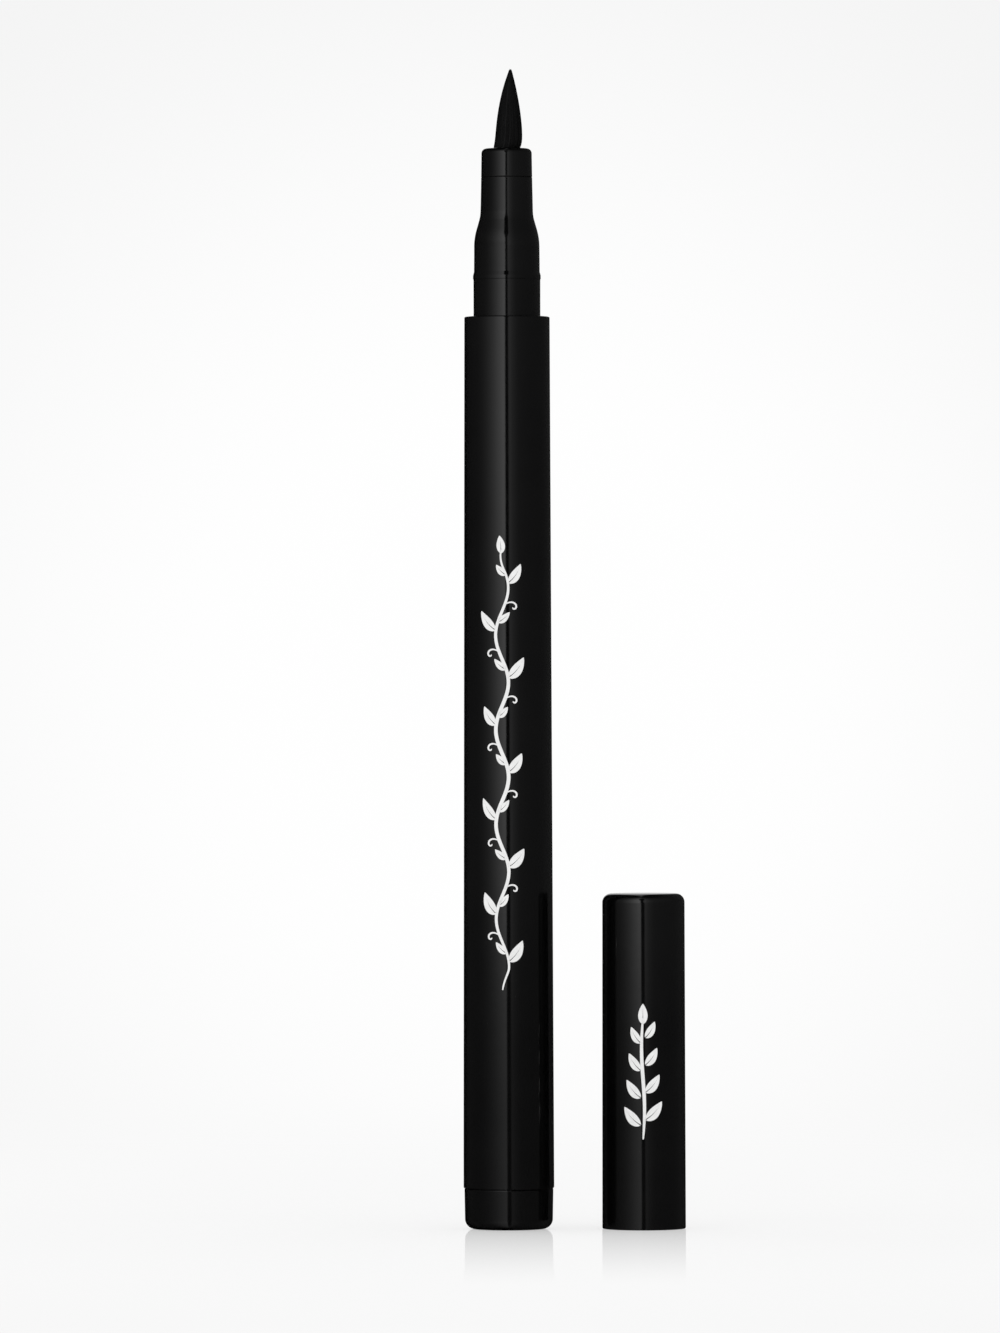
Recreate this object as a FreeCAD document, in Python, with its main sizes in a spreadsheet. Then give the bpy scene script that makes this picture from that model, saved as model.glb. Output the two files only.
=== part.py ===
"""Liquid eyeliner pen with a brush tip, standing on its tail end, its cap standing beside it.

The pen's axis is Z and its tail end stands at height zero. The cap is drawn in a frame of its own,
with height zero at its open mouth, and stands beside the pen along X. All lengths are millimetres.
"""
import FreeCAD, Part
import math
import os
import re

import Sketcher

# The driving dimensions, one cell of the sheet each.
SIZES = {
    # heights of what shows, from the floor up
    "tail_height": 4.6,
    "barrel_length": 98.04,
    "neck_length": 4.12,
    "bead_height": 0.86,
    "upper_neck_length": 3.82,
    "cone_length": 2.48,
    "collar_length": 4.34,
    "holder_height": 3.25,
    "brush_length": 8.95,
    # barrel
    "barrel_front_radius": 4.80,
    "barrel_rear_radius": 5.10,
    "shoulder_fall": 0.08,
    "barrel_shoulder_round": 0.15,
    "barrel_rear_round": 0.1,
    "front_wall": 0.79,
    "front_bore_depth": 9.1,
    "chamber_step": 0.35,
    "chamber_length": 25.4,
    "ledge_thickness": 2.0,
    "tank_wall": 1.0,
    "snap_depth": 4.0,
    "snap_width": 0.6,
    "snap_rise": 0.08,
    # tail plug
    "tail_step": 0.1,
    "tail_draft": 0.08,
    "tail_round": 1.12,
    "tail_seam_round": 0.12,
    "plug_floor": 1.5,
    "plug_stem_length": 9.0,
    "plug_lead_in": 0.4,
    "plug_rib_count": 3,
    "plug_rib_first": 2.2,
    "plug_rib_pitch": 2.0,
    "plug_rib_width": 0.8,
    "plug_stem_gap": 0.09,
    # mixing balls
    "ball_radius": 1.5,
    "ball_gap": 0.1,
    # relay core and the bush that seals it in the tank's front wall
    "relay_radius": 1.1,
    "relay_gap": 0.04,
    "relay_recess": 0.3,
    "relay_tip_length": 2.4,
    "relay_tip_base_radius": 0.75,
    "relay_tip_end_radius": 0.4,
    "seal_wall": 1.0,
    "seal_flange_overhang": 1.2,
    "seal_flange_thickness": 0.8,
    # collector comb
    "comb_gap": 0.05,
    "comb_core_wall": 0.75,
    "comb_disc_thickness": 1.0,
    "comb_fin_count": 24,
    "comb_fin_gap": 0.42,
    "comb_air_slot_width": 0.8,
    "comb_air_slot_sink": 0.3,
    "comb_ink_slit_width": 0.25,
    # front section
    "neck_gap": 0.25,
    "spigot_recess": 0.12,
    "spigot_lead_in": 0.25,
    "neck_wall": 0.81,
    "bead_rise": 0.05,
    "bead_width": 0.44,
    "upper_neck_step": 0.06,
    "upper_neck_draft": 0.03,
    "cone_foot_round": 6.8,
    "cone_top_round": 3.8,
    "collar_wall": 0.87,
    "collar_draft": 0.09,
    "cavity_roof_drop": 1.8,
    "cavity_roof_length": 2.2,
    # tip holder, brush and retainer
    "holder_draft": 0.05,
    "holder_round": 0.55,
    "holder_seam_round": 0.06,
    "holder_stem_length": 11.45,
    "holder_stem_wall": 0.42,
    "holder_vent_width": 0.3,
    "holder_vent_depth": 0.25,
    "holder_vent_count": 4,
    "brush_radius": 1.5,
    "brush_tip_radius": 0.05,
    "brush_gap": 0.03,
    "root_overhang": 0.1,
    "root_thickness": 0.95,
    "root_depth": 10.6,
    "retainer_flange_overhang": 0.4,
    "retainer_flange_thickness": 0.8,
    # cap shell
    "standing_gap": 5.4,
    "cap_step": 0.1,
    "cap_draft": 0.07,
    "cap_top_round": 1.0,
    "cap_mouth_round": 0.15,
    "cap_end_wall": 1.58,
    "cap_gap": 0.04,
    "cap_groove_gap": 0.06,
    "cap_groove_margin": 0.15,
    "cap_lead_in": 0.2,
    "ring_rise": 1.2,
    "ring_thickness": 0.5,
    "ring_slope": 0.15,
    "ring_gap": 0.07,
    "rib_start": 3.4,
    "rib_width": 0.6,
    "rib_gap": 0.05,
    "rib_root": 0.12,
    "rib_count": 6,
    "boss_radius": 1.55,
    "cap_boss_height": 1.5,
    # inner cap and its spring
    "seal_bore_gap": 0.1,
    "inner_wall": 0.45,
    "inner_skirt_length": 0.5,
    "inner_flange_overhang": 0.24,
    "inner_flange_thickness": 0.65,
    "inner_flange_gap": 0.06,
    "inner_end_wall": 0.8,
    "inner_boss_height": 1.2,
    "inner_top_round": 0.4,
    "tip_room": 1.38,
    "spring_space": 6.1,
    "spring_wire_radius": 0.2,
    "spring_mean_radius": 2.1,
    "spring_turns": 5.5,
    # clearances shared by several pieces, and the overrun of every cut
    "fit_gap": 0.02,
    "seat_gap": 0.05,
    "overrun": 1.0,
}

# Heights and radii that follow from the driving dimensions. Names here may use one another.
DERIVED = {
    # heights along the pen
    "shoulder_z": "tail_height + barrel_length",
    "bead_z": "shoulder_z + neck_length",
    "upper_neck_z": "bead_z + bead_height",
    "cone_z": "upper_neck_z + upper_neck_length",
    "collar_z": "cone_z + cone_length",
    "holder_z": "collar_z + collar_length",
    "holder_top_z": "holder_z + holder_height",
    "brush_tip_z": "holder_top_z + brush_length",
    "spigot_z": "shoulder_z - front_bore_depth",
    "ledge_top_z": "spigot_z - chamber_length",
    "ledge_z": "ledge_top_z - ledge_thickness",
    "stem_end_z": "holder_z - holder_stem_length",
    "root_step_z": "holder_top_z - root_depth + root_thickness + seat_gap",
    "root_z": "holder_top_z - root_depth",
    "plug_top_z": "tail_height + plug_stem_length",
    # radii of the pen
    "front_bore_radius": "barrel_front_radius - front_wall",
    "chamber_radius": "front_bore_radius - chamber_step",
    "tank_radius": "barrel_rear_radius - tank_wall",
    "tail_top_radius": "barrel_rear_radius - tail_step",
    "tail_bottom_radius": "tail_top_radius - tail_draft",
    "plug_stem_radius": "tank_radius - plug_stem_gap",
    "ball_offset": "ball_radius + ball_gap / 2",
    "cup_radius": "ball_offset + ball_radius + ball_gap",
    "relay_bore_radius": "relay_radius + relay_gap",
    "seal_stem_radius": "relay_bore_radius + seal_wall",
    "ledge_hole_radius": "seal_stem_radius + fit_gap",
    "seal_flange_radius": "ledge_hole_radius + seal_flange_overhang",
    "seal_flange_z": "ledge_z - seal_flange_thickness",
    "comb_radius": "chamber_radius - comb_gap",
    "comb_core_radius": "relay_bore_radius + comb_core_wall",
    "comb_z": "ledge_top_z + seat_gap",
    "comb_top_z": "spigot_z - seat_gap",
    "comb_reach": "comb_top_z - comb_z - 2 * comb_disc_thickness - comb_fin_gap",
    "spigot_radius": "front_bore_radius - fit_gap",
    "neck_radius": "front_bore_radius - neck_gap",
    "cavity_radius": "neck_radius - neck_wall",
    "bead_radius": "neck_radius + bead_rise",
    "upper_neck_radius": "neck_radius - upper_neck_step",
    "cone_radius": "upper_neck_radius - upper_neck_draft",
    "holder_bore_radius": "brush_radius + brush_gap",
    "root_radius": "holder_bore_radius + root_overhang",
    "counterbore_radius": "root_radius + fit_gap",
    "holder_stem_radius": "counterbore_radius + holder_stem_wall",
    "tip_bore_radius": "holder_stem_radius + fit_gap",
    "collar_radius": "tip_bore_radius + collar_wall",
    "holder_radius": "collar_radius - collar_draft",
    "holder_top_radius": "holder_radius - holder_draft",
    "cavity_roof_top_z": "cone_z - cavity_roof_drop + cavity_roof_length",
    # the cap, in its own frame
    "cap_x": "barrel_rear_radius + standing_gap + cap_mouth_radius",
    "cap_mouth_radius": "barrel_front_radius - cap_step",
    "cap_top_radius": "cap_mouth_radius - cap_draft",
    "mouth_bore_radius": "neck_radius + cap_gap",
    "groove_radius": "bead_radius + cap_groove_gap",
    "groove_y": "neck_length - cap_groove_margin",
    "groove_top_y": "neck_length + bead_height + cap_groove_margin",
    "ring_y": "cone_z - shoulder_z + ring_rise",
    "ring_top_y": "ring_y + ring_thickness",
    "inner_bore_radius": "collar_radius + seal_bore_gap",
    "inner_radius": "inner_bore_radius + inner_wall",
    "ring_radius": "inner_radius + ring_gap",
    "inner_flange_radius": "inner_radius + inner_flange_overhang",
    "guide_radius": "inner_flange_radius + inner_flange_gap",
    "rib_radius": "inner_radius + rib_gap",
    "inner_flange_y": "ring_top_y + seat_gap",
    "inner_flange_top_y": "inner_flange_y + inner_flange_thickness",
    "inner_mouth_y": "inner_flange_y - inner_skirt_length",
    "inner_roof_y": "brush_tip_z - shoulder_z + tip_room",
    "inner_top_y": "inner_roof_y + inner_end_wall",
    "cap_roof_y": "inner_top_y + spring_space",
    "cap_top_y": "cap_roof_y + cap_end_wall",
    "rib_y": "ring_top_y + rib_start",
    "spring_height": "spring_space - 2 * seat_gap - 2 * spring_wire_radius",
}

VOLUME_SHARE = 0.01
EDGE_TOLERANCE = 1e-4

doc = FreeCAD.newDocument("eyeliner_pen")


def make_sheet():
    """Writes every driving dimension into a cell of its own, with an alias."""
    cells = doc.addObject("Spreadsheet::Sheet", "sheet")
    for row, (alias, number) in enumerate(SIZES.items(), 1):
        cells.set(f"A{row}", alias.replace("_", " "))
        cells.set(f"B{row}", str(number))
        cells.setAlias(f"B{row}", alias)
    doc.recompute()
    return cells


sheet = make_sheet()


def expand(text):
    """The expression with each derived name replaced by its formula and each size by its cell."""

    def swap(match):
        word = match.group()
        if word in DERIVED:
            return f"({expand(DERIVED[word])})"
        return f"sheet.{word}" if word in SIZES else word

    return re.sub(r"[a-z][a-z_]*", swap, text)


def value(text):
    """The number that an expression in the sizes gives now."""
    return float(sheet.evalExpression(expand(text)))


def bind(thing, prop, text):
    """Ties a property of a feature or piece to an expression in the sizes."""
    thing.setExpression(prop, expand(text))


# Sketches and features

def new_body(label):
    """An empty body whose label names its file."""
    body = doc.addObject("PartDesign::Body", label)
    body.Label = label
    return body


def origin_part(body, role):
    """One of the body's own origin planes or axes."""
    return next(f for f in body.Origin.OriginFeatures if f.Role == role)


def new_sketch(body, name, plane, height=None):
    """A sketch on one of the body's planes, raised along the plane's normal to a height."""
    sketch = body.newObject("Sketcher::SketchObject", name)
    sketch.AttachmentSupport = [(origin_part(body, plane), "")]
    sketch.MapMode = "FlatFace"
    if height:
        bind(sketch, "AttachmentOffset.Base.z", height)
    return sketch


def place(sketch, geometry, point, across, up):
    """Holds a point of the sketch at its distances across and up from the origin."""
    for kind, text, axis in (("DistanceX", across, -2), ("DistanceY", up, -1)):
        if text == "0":
            sketch.addConstraint(Sketcher.Constraint("PointOnObject", geometry, point, axis))
            continue
        held = Sketcher.Constraint(kind, -1, 1, geometry, point, value(text))
        index = sketch.addConstraint(held)
        bind(sketch, f"Constraints[{index}]", text)


def draw_outline(sketch, corners, arcs=None):
    """A closed outline through corners, each a pair of expressions.

    arcs gives, for the side that starts at a corner, the height of its centre: that side is an
    arc, which bulges away from the axis.
    """
    arcs = arcs or {}
    points = [FreeCAD.Vector(value(across), value(up), 0) for across, up in corners]
    sides = len(points)
    for index, start in enumerate(points):
        end = points[(index + 1) % sides]
        if index not in arcs:
            sketch.addGeometry(Part.LineSegment(start, end))
            continue
        level = value(arcs[index])
        rise = end.y - level
        reach = start.x - end.x
        radius = (reach * reach + rise * rise) / (2 * reach)
        centre = FreeCAD.Vector(start.x - radius, level, 0)
        circle = Part.Circle(centre, FreeCAD.Vector(0, 0, 1), radius)
        sketch.addGeometry(Part.ArcOfCircle(circle, 0, math.asin(rise / radius)))
    for index in range(sides):
        following = (index + 1) % sides
        sketch.addConstraint(Sketcher.Constraint("Coincident", index, 2, following, 1))
        place(sketch, index, 1, *corners[index])
        if index in arcs:
            held = Sketcher.Constraint("DistanceY", -1, 1, index, 3, value(arcs[index]))
            constraint = sketch.addConstraint(held)
            bind(sketch, f"Constraints[{constraint}]", arcs[index])
    doc.recompute()


def turned(body, name, corners, arcs=None):
    """A solid of revolution about the Z axis, from an outline in radius and height."""
    sketch = new_sketch(body, f"{name}_outline", "XZ_Plane")
    draw_outline(sketch, corners, arcs)
    feature = body.newObject("PartDesign::Revolution", name)
    feature.Profile = sketch
    feature.ReferenceAxis = (sketch, ["V_Axis"])
    feature.Angle = 360
    sketch.Visibility = False
    doc.recompute()
    return feature


def turned_cut(body, name, corners):
    """A groove or hollow turned about the Z axis out of the body."""
    before = body.Shape.Volume
    sketch = new_sketch(body, f"{name}_outline", "XZ_Plane")
    draw_outline(sketch, corners)
    feature = body.newObject("PartDesign::Groove", name)
    feature.Profile = sketch
    feature.ReferenceAxis = (sketch, ["V_Axis"])
    feature.Angle = 360
    doc.recompute()
    must_shrink(body, before, name)
    return feature


def straight_cut(body, name, corners, height, depth):
    """A pocket cut straight down from a height, its outline across X and Y."""
    before = body.Shape.Volume
    sketch = new_sketch(body, f"{name}_outline", "XY_Plane", height)
    draw_outline(sketch, corners)
    feature = body.newObject("PartDesign::Pocket", name)
    feature.Profile = sketch
    bind(feature, "Length", depth)
    doc.recompute()
    must_shrink(body, before, name)
    return feature


def straight_pad(body, name, corners, height, length):
    """A pad raised straight up from a height, its outline across X and Y."""
    sketch = new_sketch(body, f"{name}_outline", "XY_Plane", height)
    draw_outline(sketch, corners)
    feature = body.newObject("PartDesign::Pad", name)
    feature.Profile = sketch
    bind(feature, "Length", length)
    doc.recompute()
    return feature


def repeat_round(body, name, feature, count):
    """Copies a feature round the Z axis."""
    pattern = body.newObject("PartDesign::PolarPattern", name)
    pattern.Originals = [feature]
    pattern.Axis = (origin_part(body, "Z_Axis"), [""])
    pattern.Angle = 360
    bind(pattern, "Occurrences", count)
    body.Tip = pattern
    doc.recompute()
    return pattern


def repeat_up(body, name, feature, count, reach):
    """Copies a feature along the Z axis, the last copy a given reach from the first."""
    pattern = body.newObject("PartDesign::LinearPattern", name)
    pattern.Originals = [feature]
    pattern.Direction = (origin_part(body, "Z_Axis"), [""])
    bind(pattern, "Length", reach)
    bind(pattern, "Occurrences", count)
    body.Tip = pattern
    doc.recompute()
    return pattern


def must_shrink(body, before, name):
    """Stops the build if a cut has removed nothing."""
    if body.Shape.Volume >= before:
        raise RuntimeError(f"{body.Label}: {name} cut nothing")


def ring_edges(shape, rings):
    """The names of the shape's circular edges at the given radii and heights."""
    names = []
    for radius, height in ((value(r), value(z)) for r, z in rings):
        for number, edge in enumerate(shape.Edges, 1):
            curve = edge.Curve
            if not isinstance(curve, Part.Circle):
                continue
            near = abs(curve.Radius - radius) < EDGE_TOLERANCE
            if near and abs(curve.Center.z - height) < EDGE_TOLERANCE:
                names.append(f"Edge{number}")
                break
        else:
            raise RuntimeError(f"no edge of radius {radius:.3f} at height {height:.3f}")
    return names


def rounded(body, name, rings, size, kind="Fillet"):
    """Rounds the body's circular edges at the given radii and heights, or chamfers them."""
    base = body.Tip
    feature = body.newObject(f"PartDesign::{kind}", name)
    feature.Base = (base, ring_edges(base.Shape, rings))
    bind(feature, "Radius" if kind == "Fillet" else "Size", size)
    doc.recompute()
    return feature


def stand_beside(piece):
    """Moves a piece drawn in the cap's frame to where the cap stands."""
    bind(piece, "Placement.Base.x", "cap_x")


# The pen

def make_barrel():
    """Outer barrel: front bore for the front section, comb chamber, ledge with its hole, tank.

    Its end face falls a little from the bore to the rounded shoulder.
    """
    body = new_body("barrel")
    turned(body, "shell", [
        ("barrel_rear_radius", "tail_height"),
        ("barrel_front_radius", "shoulder_z - shoulder_fall"),
        ("front_bore_radius", "shoulder_z"),
        ("front_bore_radius", "spigot_z"),
        ("chamber_radius", "spigot_z"),
        ("chamber_radius", "ledge_top_z"),
        ("ledge_hole_radius", "ledge_top_z"),
        ("ledge_hole_radius", "ledge_z"),
        ("tank_radius", "ledge_z"),
        ("tank_radius", "tail_height"),
    ])
    turned_cut(body, "snap_groove", [
        ("front_bore_radius - fit_gap", "shoulder_z - snap_depth - fit_gap"),
        ("front_bore_radius + snap_rise + fit_gap", "shoulder_z - snap_depth - fit_gap"),
        ("front_bore_radius + snap_rise + fit_gap",
         "shoulder_z - snap_depth + snap_width + fit_gap"),
        ("front_bore_radius - fit_gap", "shoulder_z - snap_depth + snap_width + fit_gap"),
    ])
    rounded(body, "shoulder_round", [("barrel_front_radius", "shoulder_z - shoulder_fall")],
            "barrel_shoulder_round")
    rounded(body, "rear_round", [("barrel_rear_radius", "tail_height")], "barrel_rear_round")
    return body


def make_tail_plug():
    """Tail plug: the pen's foot, with a ribbed stem that closes the tank and a cup in its top."""
    body = new_body("tail_plug")
    turned(body, "plug", [
        ("0", "0"),
        ("tail_bottom_radius", "0"),
        ("tail_top_radius", "tail_height - seat_gap"),
        ("plug_stem_radius", "tail_height - seat_gap"),
        ("plug_stem_radius", "plug_top_z"),
        ("cup_radius", "plug_top_z"),
        ("cup_radius", "plug_floor"),
        ("0", "plug_floor"),
    ])
    first_rib = turned(body, "sealing_rib", [
        ("plug_stem_radius - fit_gap", "tail_height + plug_rib_first"),
        ("plug_stem_radius", "tail_height + plug_rib_first"),
        ("tank_radius - fit_gap", "tail_height + plug_rib_first + plug_rib_width / 3"),
        ("tank_radius - fit_gap", "tail_height + plug_rib_first + plug_rib_width * 2 / 3"),
        ("plug_stem_radius", "tail_height + plug_rib_first + plug_rib_width"),
        ("plug_stem_radius - fit_gap", "tail_height + plug_rib_first + plug_rib_width"),
    ])
    repeat_up(body, "sealing_ribs", first_rib, "plug_rib_count",
              "(plug_rib_count - 1) * plug_rib_pitch")
    rounded(body, "foot_round", [("tail_bottom_radius", "0")], "tail_round")
    rounded(body, "seam_round", [("tail_top_radius", "tail_height - seat_gap")],
            "tail_seam_round")
    rounded(body, "lead_in", [("plug_stem_radius", "plug_top_z")], "plug_lead_in", "Chamfer")
    return body


def make_mixing_ball(label, side):
    """Steel ball that stirs the ink. Two lie side by side in the tail plug's cup."""
    ball = doc.addObject("Part::Sphere", label)
    ball.Label = label
    bind(ball, "Radius", "ball_radius")
    bind(ball, "Placement.Base.x", f"{side} * ball_offset")
    bind(ball, "Placement.Base.z", "plug_floor + ball_gap + ball_radius")
    return ball


def make_tank_seal():
    """Soft bush in the ledge's hole, round the relay core, with its flange on the tank's side."""
    body = new_body("tank_seal")
    turned(body, "bush", [
        ("relay_bore_radius", "seal_flange_z - fit_gap"),
        ("seal_flange_radius", "seal_flange_z - fit_gap"),
        ("seal_flange_radius", "ledge_z - fit_gap"),
        ("seal_stem_radius", "ledge_z - fit_gap"),
        ("seal_stem_radius", "ledge_top_z"),
        ("relay_bore_radius", "ledge_top_z"),
    ])
    return body


def make_collector_comb():
    """Comb whose fins hold the ink that a warm tank pushes out, with its air slot and ink slit."""
    body = new_body("collector_comb")
    turned(body, "spool", [
        ("relay_bore_radius", "comb_z"),
        ("comb_radius", "comb_z"),
        ("comb_radius", "comb_top_z"),
        ("relay_bore_radius", "comb_top_z"),
    ])
    first_gap = turned_cut(body, "fin_gap", [
        ("comb_core_radius", "comb_z + comb_disc_thickness"),
        ("comb_radius + overrun", "comb_z + comb_disc_thickness"),
        ("comb_radius + overrun", "comb_z + comb_disc_thickness + comb_fin_gap"),
        ("comb_core_radius", "comb_z + comb_disc_thickness + comb_fin_gap"),
    ])
    repeat_up(body, "fin_gaps", first_gap, "comb_fin_count + 1", "comb_reach")
    straight_cut(body, "air_slot", [
        ("comb_core_radius - comb_air_slot_sink", "-comb_air_slot_width / 2"),
        ("comb_radius + overrun", "-comb_air_slot_width / 2"),
        ("comb_radius + overrun", "comb_air_slot_width / 2"),
        ("comb_core_radius - comb_air_slot_sink", "comb_air_slot_width / 2"),
    ], "comb_top_z + overrun", "comb_top_z + overrun - comb_z - comb_disc_thickness")
    straight_cut(body, "ink_slit", [
        ("0", "-comb_ink_slit_width / 2"),
        ("-comb_radius - overrun", "-comb_ink_slit_width / 2"),
        ("-comb_radius - overrun", "comb_ink_slit_width / 2"),
        ("0", "comb_ink_slit_width / 2"),
    ], "comb_top_z - comb_disc_thickness", "comb_top_z - comb_z - comb_disc_thickness + overrun")
    return body


def make_relay_core():
    """Bonded-fibre rod that leads the ink from the tank through the comb into the brush."""
    body = new_body("relay_core")
    turned(body, "rod", [
        ("0", "seal_flange_z + relay_recess"),
        ("relay_radius", "seal_flange_z + relay_recess"),
        ("relay_radius", "root_z - seat_gap"),
        ("relay_tip_base_radius", "root_z - seat_gap"),
        ("relay_tip_end_radius", "root_z - seat_gap + relay_tip_length"),
        ("0", "root_z - seat_gap + relay_tip_length"),
    ])
    return body


def make_front_section():
    """Front section: spigot in the barrel, neck with the cap's bead, cone and slim collar."""
    body = new_body("front_section")
    spigot_start = "spigot_z + seat_gap"
    neck_start = "shoulder_z - spigot_recess"
    turned(body, "section", [
        ("spigot_radius", spigot_start),
        ("spigot_radius", neck_start),
        ("neck_radius", neck_start),
        ("neck_radius", "bead_z"),
        ("bead_radius", "bead_z + bead_rise"),
        ("bead_radius", "bead_z + bead_width"),
        ("upper_neck_radius", "upper_neck_z"),
        ("cone_radius", "cone_z"),
        ("collar_radius", "collar_z"),
        ("holder_radius", "holder_z"),
        ("tip_bore_radius", "holder_z"),
        ("tip_bore_radius", "cavity_roof_top_z"),
        ("cavity_radius", "cone_z - cavity_roof_drop"),
        ("cavity_radius", spigot_start),
    ])
    turned(body, "snap_bead", [
        ("spigot_radius - fit_gap", "shoulder_z - snap_depth"),
        ("spigot_radius", "shoulder_z - snap_depth"),
        ("front_bore_radius + snap_rise", "shoulder_z - snap_depth + snap_width / 2"),
        ("spigot_radius", "shoulder_z - snap_depth + snap_width"),
        ("spigot_radius - fit_gap", "shoulder_z - snap_depth + snap_width"),
    ])
    rounded(body, "cone_foot", [("cone_radius", "cone_z")], "cone_foot_round")
    rounded(body, "cone_top", [("collar_radius", "collar_z")], "cone_top_round")
    rounded(body, "lead_in", [("spigot_radius", spigot_start)], "spigot_lead_in", "Chamfer")
    rounded(body, "seam_round", [("holder_radius", "holder_z")], "holder_seam_round")
    return body


def make_tip_holder():
    """Tip holder: ring at the pen's front, its stem in the collar, its bore round the brush."""
    body = new_body("tip_holder")
    turned(body, "holder", [
        ("holder_bore_radius", "root_step_z"),
        ("counterbore_radius", "root_step_z"),
        ("counterbore_radius", "stem_end_z"),
        ("holder_stem_radius", "stem_end_z"),
        ("holder_stem_radius", "holder_z + fit_gap"),
        ("holder_radius", "holder_z + fit_gap"),
        ("holder_top_radius", "holder_top_z"),
        ("holder_bore_radius", "holder_top_z"),
    ])
    vent = straight_cut(body, "vent", [
        ("holder_bore_radius - holder_vent_depth", "-holder_vent_width / 2"),
        ("holder_bore_radius + holder_vent_depth", "-holder_vent_width / 2"),
        ("holder_bore_radius + holder_vent_depth", "holder_vent_width / 2"),
        ("holder_bore_radius - holder_vent_depth", "holder_vent_width / 2"),
    ], "holder_top_z + overrun", "holder_top_z + overrun - root_step_z + seat_gap")
    repeat_round(body, "vents", vent, "holder_vent_count")
    rounded(body, "front_round", [("holder_top_radius", "holder_top_z")], "holder_round")
    rounded(body, "seam_round", [("holder_radius", "holder_z + fit_gap")], "holder_seam_round")
    return body


def make_brush_tip():
    """Brush: a tuft that tapers to a fine point, with a fused root and a socket for the relay."""
    body = new_body("brush_tip")
    socket_top = "root_z + relay_tip_length"
    turned(body, "tuft", [
        ("relay_tip_base_radius + seat_gap", "root_z"),
        ("root_radius", "root_z"),
        ("root_radius", "root_z + root_thickness"),
        ("brush_radius", "root_z + root_thickness"),
        ("brush_radius", "holder_top_z"),
        ("brush_tip_radius", "brush_tip_z"),
        ("0", "brush_tip_z"),
        ("0", socket_top),
        ("relay_tip_end_radius + seat_gap", socket_top),
    ], arcs={4: "holder_top_z"})
    return body


def make_brush_retainer():
    """Pipe pressed into the holder's stem behind the brush's root, round the relay core."""
    body = new_body("brush_retainer")
    flange_top = "stem_end_z - seat_gap"
    turned(body, "pipe", [
        ("relay_bore_radius", "stem_end_z - seat_gap - retainer_flange_thickness"),
        ("root_radius + retainer_flange_overhang",
         "stem_end_z - seat_gap - retainer_flange_thickness"),
        ("root_radius + retainer_flange_overhang", flange_top),
        ("root_radius", flange_top),
        ("root_radius", "root_z - seat_gap"),
        ("relay_bore_radius", "root_z - seat_gap"),
    ])
    return body


# The cap

def make_cap_shell():
    """Cap: mouth bore with its snap groove, a ring that keeps the inner cap, ribs and a boss."""
    body = new_body("cap_shell")
    turned(body, "shell", [
        ("cap_mouth_radius", "0"),
        ("cap_top_radius", "cap_top_y"),
        ("0", "cap_top_y"),
        ("0", "cap_roof_y - cap_boss_height"),
        ("boss_radius", "cap_roof_y - cap_boss_height"),
        ("boss_radius", "cap_roof_y"),
        ("guide_radius", "cap_roof_y"),
        ("guide_radius", "ring_top_y"),
        ("ring_radius", "ring_top_y - ring_slope"),
        ("ring_radius", "ring_y + ring_slope"),
        ("mouth_bore_radius", "ring_y"),
        ("mouth_bore_radius", "0"),
    ])
    turned_cut(body, "snap_groove", [
        ("mouth_bore_radius - fit_gap", "groove_y"),
        ("groove_radius", "groove_y + cap_groove_gap"),
        ("groove_radius", "groove_top_y - cap_groove_gap"),
        ("mouth_bore_radius - fit_gap", "groove_top_y"),
    ])
    rib = straight_pad(body, "guide_rib", [
        ("rib_radius", "-rib_width / 2"),
        ("guide_radius + rib_root", "-rib_width / 2"),
        ("guide_radius + rib_root", "rib_width / 2"),
        ("rib_radius", "rib_width / 2"),
    ], "rib_y", "cap_roof_y - rib_y + rib_root")
    repeat_round(body, "guide_ribs", rib, "rib_count")
    rounded(body, "top_round", [("cap_top_radius", "cap_top_y")], "cap_top_round")
    rounded(body, "mouth_round", [("cap_mouth_radius", "0")], "cap_mouth_round")
    rounded(body, "lead_in", [("mouth_bore_radius", "0")], "cap_lead_in", "Chamfer")
    stand_beside(body)
    return body


def make_inner_cap():
    """Sprung inner cap: seals round the cone and collar and keeps the brush from drying."""
    body = new_body("inner_cap")
    turned(body, "cup", [
        ("inner_bore_radius", "inner_mouth_y"),
        ("inner_radius", "inner_mouth_y"),
        ("inner_radius", "inner_flange_y"),
        ("inner_flange_radius", "inner_flange_y"),
        ("inner_flange_radius", "inner_flange_top_y"),
        ("inner_radius", "inner_flange_top_y"),
        ("inner_radius", "inner_top_y"),
        ("boss_radius", "inner_top_y"),
        ("boss_radius", "inner_top_y + inner_boss_height"),
        ("0", "inner_top_y + inner_boss_height"),
        ("0", "inner_roof_y"),
        ("inner_bore_radius", "inner_roof_y"),
    ])
    rounded(body, "top_round", [("inner_radius", "inner_top_y")], "inner_top_round")
    stand_beside(body)
    return body


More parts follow.
